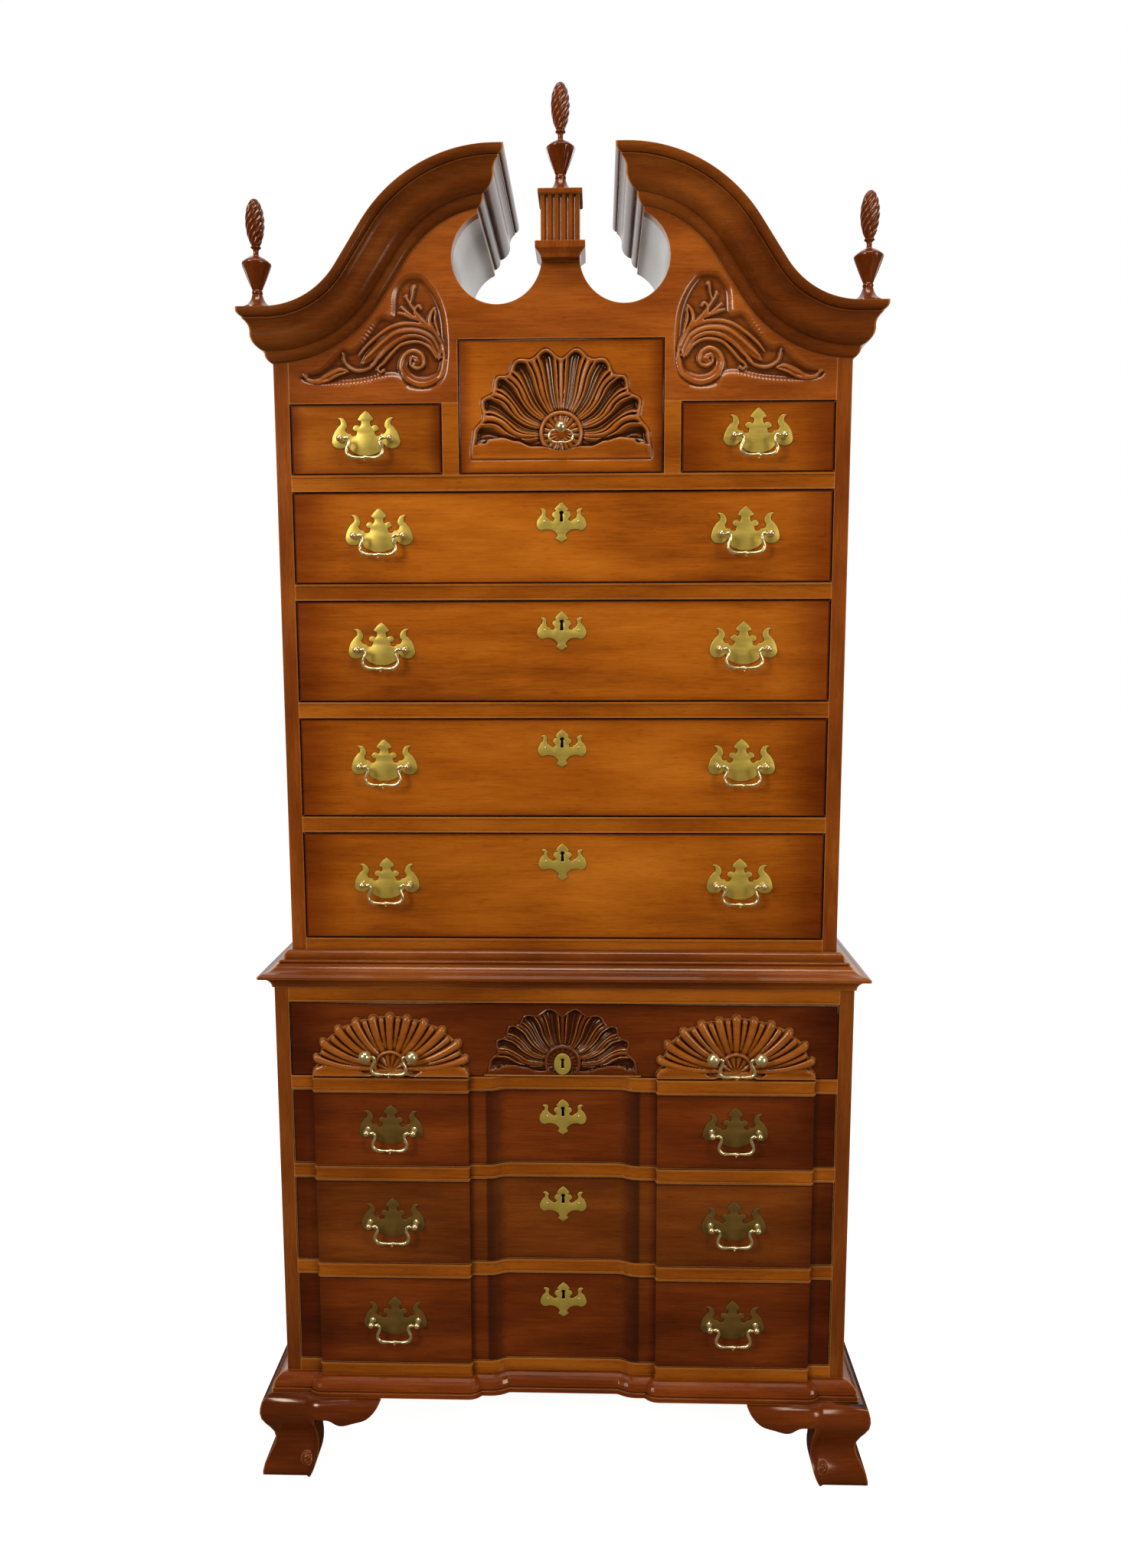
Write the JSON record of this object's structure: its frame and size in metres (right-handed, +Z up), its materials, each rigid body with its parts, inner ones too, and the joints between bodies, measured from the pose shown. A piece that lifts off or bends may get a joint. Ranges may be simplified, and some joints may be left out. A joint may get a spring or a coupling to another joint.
{
  "type": "chest on chest",
  "caption": "Tall bonnet-top chest on chest with a block-front lower case, carved shells, swan-neck cornice, bracket feet and brass bail pulls.",
  "frame": {"origin": "on the floor, under the middle of the whole piece's width and depth", "axes": "+Z up, +X to the right as one faces the drawers, and the fronts face -Y"},
  "size_m": [1.013, 0.525, 2.217],
  "materials": {
    "mahogany": "rubbed satin lacquer over a reddish stain",
    "back_board": "plain unpolished board",
    "lining": "dull pale grey",
    "brass": "polished cast brass"
  },
  "bodies": {
    "carcase": {"upper_side_left": "mahogany", "upper_side_right": "mahogany", "upper_frame": "mahogany", "case_backs": "back_board", "scroll_board": "mahogany", "bonnet_box": "lining", "swan_moulding_left": "mahogany", "swan_moulding_right": "mahogany", "plinth": "mahogany", "finial_centre": "mahogany", "finials_side": "mahogany", "waist_moulding": "mahogany", "lower_side_left": "mahogany", "lower_side_right": "mahogany", "lower_frame": "mahogany", "base_moulding": "mahogany", "foot_front_left": "mahogany", "foot_front_right": "mahogany", "feet_rear": "mahogany"},
    "small_left_drawer": {"drawer_small_left": "mahogany", "brasses_small_left": "brass"},
    "small_right_drawer": {"drawer_small_right": "mahogany", "brasses_small_right": "brass"},
    "fan_drawer": {"drawer_fan": "mahogany", "brasses_fan": "brass"},
    "upper_1_drawer": {"drawer_upper_1": "mahogany", "brasses_upper_1": "brass"},
    "upper_2_drawer": {"drawer_upper_2": "mahogany", "brasses_upper_2": "brass"},
    "upper_3_drawer": {"drawer_upper_3": "mahogany", "brasses_upper_3": "brass"},
    "upper_4_drawer": {"drawer_upper_4": "mahogany", "brasses_upper_4": "brass"},
    "shell_drawer": {"drawer_shell": "mahogany", "brasses_shell": "brass"},
    "block_1_drawer": {"drawer_block_1": "mahogany", "brasses_block_1": "brass"},
    "block_2_drawer": {"drawer_block_2": "mahogany", "brasses_block_2": "brass"},
    "block_3_drawer": {"drawer_block_3": "mahogany", "brasses_block_3": "brass"},
    "small_left_bail": {"bail_small_left": "brass"},
    "small_right_bail": {"bail_small_right": "brass"},
    "upper_1_left_bail": {"bail_upper_1_left": "brass"},
    "upper_1_right_bail": {"bail_upper_1_right": "brass"},
    "upper_2_left_bail": {"bail_upper_2_left": "brass"},
    "upper_2_right_bail": {"bail_upper_2_right": "brass"},
    "upper_3_left_bail": {"bail_upper_3_left": "brass"},
    "upper_3_right_bail": {"bail_upper_3_right": "brass"},
    "upper_4_left_bail": {"bail_upper_4_left": "brass"},
    "upper_4_right_bail": {"bail_upper_4_right": "brass"},
    "shell_left_bail": {"bail_shell_left": "brass"},
    "shell_right_bail": {"bail_shell_right": "brass"},
    "block_1_left_bail": {"bail_block_1_left": "brass"},
    "block_1_right_bail": {"bail_block_1_right": "brass"},
    "block_2_left_bail": {"bail_block_2_left": "brass"},
    "block_2_right_bail": {"bail_block_2_right": "brass"},
    "block_3_left_bail": {"bail_block_3_left": "brass"},
    "block_3_right_bail": {"bail_block_3_right": "brass"},
    "fan_bail": {"bail_fan": "brass"}
  },
  "joints": [
    {"name": "small_left_slide", "type": "slide", "parent": "carcase", "child": "small_left_drawer", "axis": [0, -1, 0], "range_m": [0, 0.3]},
    {"name": "small_right_slide", "type": "slide", "parent": "carcase", "child": "small_right_drawer", "axis": [0, -1, 0], "range_m": [0, 0.3]},
    {"name": "fan_slide", "type": "slide", "parent": "carcase", "child": "fan_drawer", "axis": [0, -1, 0], "range_m": [0, 0.3]},
    {"name": "upper_1_slide", "type": "slide", "parent": "carcase", "child": "upper_1_drawer", "axis": [0, -1, 0], "range_m": [0, 0.3]},
    {"name": "upper_2_slide", "type": "slide", "parent": "carcase", "child": "upper_2_drawer", "axis": [0, -1, 0], "range_m": [0, 0.3]},
    {"name": "upper_3_slide", "type": "slide", "parent": "carcase", "child": "upper_3_drawer", "axis": [0, -1, 0], "range_m": [0, 0.3]},
    {"name": "upper_4_slide", "type": "slide", "parent": "carcase", "child": "upper_4_drawer", "axis": [0, -1, 0], "range_m": [0, 0.3]},
    {"name": "shell_slide", "type": "slide", "parent": "carcase", "child": "shell_drawer", "axis": [0, -1, 0], "range_m": [0, 0.3]},
    {"name": "block_1_slide", "type": "slide", "parent": "carcase", "child": "block_1_drawer", "axis": [0, -1, 0], "range_m": [0, 0.3]},
    {"name": "block_2_slide", "type": "slide", "parent": "carcase", "child": "block_2_drawer", "axis": [0, -1, 0], "range_m": [0, 0.3]},
    {"name": "block_3_slide", "type": "slide", "parent": "carcase", "child": "block_3_drawer", "axis": [0, -1, 0], "range_m": [0, 0.3]},
    {"name": "small_left_swing", "type": "hinge", "parent": "small_left_drawer", "child": "small_left_bail", "pos_m": [-0.30162, -0.2031, 1.70025], "axis": [-1, 0, 0], "range_deg": [-20, 90]},
    {"name": "small_right_swing", "type": "hinge", "parent": "small_right_drawer", "child": "small_right_bail", "pos_m": [0.30162, -0.2031, 1.70025], "axis": [-1, 0, 0], "range_deg": [-20, 90]},
    {"name": "upper_1_left_swing", "type": "hinge", "parent": "upper_1_drawer", "child": "upper_1_left_bail", "pos_m": [-0.2845, -0.2031, 1.5535], "axis": [-1, 0, 0], "range_deg": [-20, 90]},
    {"name": "upper_1_right_swing", "type": "hinge", "parent": "upper_1_drawer", "child": "upper_1_right_bail", "pos_m": [0.2845, -0.2031, 1.5535], "axis": [-1, 0, 0], "range_deg": [-20, 90]},
    {"name": "upper_2_left_swing", "type": "hinge", "parent": "upper_2_drawer", "child": "upper_2_left_bail", "pos_m": [-0.2845, -0.2031, 1.3775], "axis": [-1, 0, 0], "range_deg": [-20, 90]},
    {"name": "upper_2_right_swing", "type": "hinge", "parent": "upper_2_drawer", "child": "upper_2_right_bail", "pos_m": [0.2845, -0.2031, 1.3775], "axis": [-1, 0, 0], "range_deg": [-20, 90]},
    {"name": "upper_3_left_swing", "type": "hinge", "parent": "upper_3_drawer", "child": "upper_3_left_bail", "pos_m": [-0.2845, -0.2031, 1.193], "axis": [-1, 0, 0], "range_deg": [-20, 90]},
    {"name": "upper_3_right_swing", "type": "hinge", "parent": "upper_3_drawer", "child": "upper_3_right_bail", "pos_m": [0.2845, -0.2031, 1.193], "axis": [-1, 0, 0], "range_deg": [-20, 90]},
    {"name": "upper_4_left_swing", "type": "hinge", "parent": "upper_4_drawer", "child": "upper_4_left_bail", "pos_m": [-0.2845, -0.2031, 1.001], "axis": [-1, 0, 0], "range_deg": [-20, 90]},
    {"name": "upper_4_right_swing", "type": "hinge", "parent": "upper_4_drawer", "child": "upper_4_right_bail", "pos_m": [0.2845, -0.2031, 1.001], "axis": [-1, 0, 0], "range_deg": [-20, 90]},
    {"name": "shell_left_swing", "type": "hinge", "parent": "shell_drawer", "child": "shell_left_bail", "pos_m": [-0.28001, -0.2347, 0.726], "axis": [-1, 0, 0], "range_deg": [-10, 90]},
    {"name": "shell_right_swing", "type": "hinge", "parent": "shell_drawer", "child": "shell_right_bail", "pos_m": [0.28001, -0.2347, 0.726], "axis": [-1, 0, 0], "range_deg": [-10, 90]},
    {"name": "block_1_left_swing", "type": "hinge", "parent": "block_1_drawer", "child": "block_1_left_bail", "pos_m": [-0.28001, -0.2391, 0.599], "axis": [-1, 0, 0], "range_deg": [-20, 90]},
    {"name": "block_1_right_swing", "type": "hinge", "parent": "block_1_drawer", "child": "block_1_right_bail", "pos_m": [0.28001, -0.2391, 0.599], "axis": [-1, 0, 0], "range_deg": [-20, 90]},
    {"name": "block_2_left_swing", "type": "hinge", "parent": "block_2_drawer", "child": "block_2_left_bail", "pos_m": [-0.28001, -0.2391, 0.43875], "axis": [-1, 0, 0], "range_deg": [-20, 90]},
    {"name": "block_2_right_swing", "type": "hinge", "parent": "block_2_drawer", "child": "block_2_right_bail", "pos_m": [0.28001, -0.2391, 0.43875], "axis": [-1, 0, 0], "range_deg": [-20, 90]},
    {"name": "block_3_left_swing", "type": "hinge", "parent": "block_3_drawer", "child": "block_3_left_bail", "pos_m": [-0.28001, -0.2391, 0.26525], "axis": [-1, 0, 0], "range_deg": [-20, 90]},
    {"name": "block_3_right_swing", "type": "hinge", "parent": "block_3_drawer", "child": "block_3_right_bail", "pos_m": [0.28001, -0.2391, 0.26525], "axis": [-1, 0, 0], "range_deg": [-20, 90]},
    {"name": "fan_swing", "type": "hinge", "parent": "fan_drawer", "child": "fan_bail", "pos_m": [0, -0.2015, 1.7101], "axis": [-1, 0, 0], "range_deg": [-20, 90]}
  ]
}
